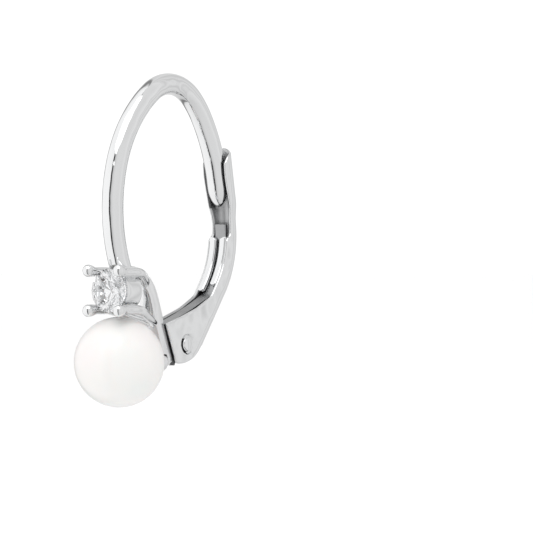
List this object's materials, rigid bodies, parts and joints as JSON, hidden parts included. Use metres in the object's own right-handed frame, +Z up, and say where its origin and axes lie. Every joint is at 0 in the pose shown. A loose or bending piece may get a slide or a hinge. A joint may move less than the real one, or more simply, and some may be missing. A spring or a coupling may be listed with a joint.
{
  "type": "leverback earring with a stone and a pearl",
  "caption": "Polished white-metal leverback earring: a claw-set round stone above a white pearl, an arched ear wire, and a sprung folded lever that swings down to open.",
  "frame": {"origin": "the place where the ear hole rests, inside the top of the ear wire, on the earring's middle plane", "axes": "+Z up as the earring hangs, -Y towards the front where the stone and the pearl face, +Y towards the lever, X across the earring"},
  "size_m": [0.005, 0.0121, 0.0186],
  "materials": {
    "silver": "polished",
    "spring_steel": "polished",
    "pearl": "soft nacre sheen",
    "stone": "clear cut stone"
  },
  "bodies": {
    "earring": {"frame": "silver", "stone": "stone", "pearl": "pearl", "rivet": "silver"},
    "lever": {"lever": "silver", "spring": "spring_steel"}
  },
  "joints": [
    {"name": "lever_hinge", "type": "hinge", "parent": "earring", "child": "lever", "pos_m": [0, 0.00074, -0.01394], "axis": [-1, 0, 0], "range_deg": [0, 75]}
  ]
}
